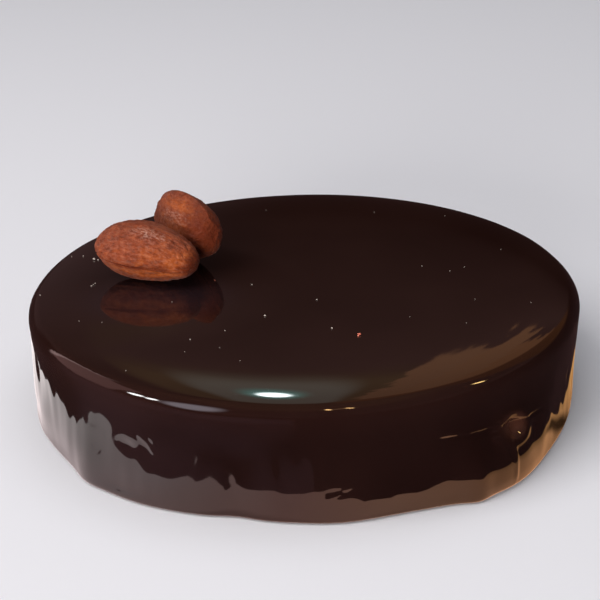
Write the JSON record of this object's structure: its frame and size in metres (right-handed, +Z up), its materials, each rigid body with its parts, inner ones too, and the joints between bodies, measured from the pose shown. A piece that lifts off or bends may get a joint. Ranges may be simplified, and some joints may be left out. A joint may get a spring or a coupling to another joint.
{
  "type": "chocolate cake",
  "caption": "Low round chocolate cake under a dark mirror glaze with a flat top, a round rim and an uneven poured foot; cocoa beans lie on top to one side.",
  "frame": {"origin": "centre of the cake's flat underside, on the surface it stands on", "axes": "+Z up out of the cake's top; -Y towards the front that the picture shows; +X to the right as seen from the front"},
  "size_m": [0.142, 0.1446, 0.0486],
  "materials": {
    "glaze": "mirror-gloss chocolate glaze",
    "bean_front_skin": "matte, dry, finely wrinkled",
    "bean_back_skin": "matte, dry, finely wrinkled"
  },
  "bodies": {
    "root": {"cake": "glaze", "bean_front": "bean_front_skin", "bean_back": "bean_back_skin"}
  },
  "joints": []
}
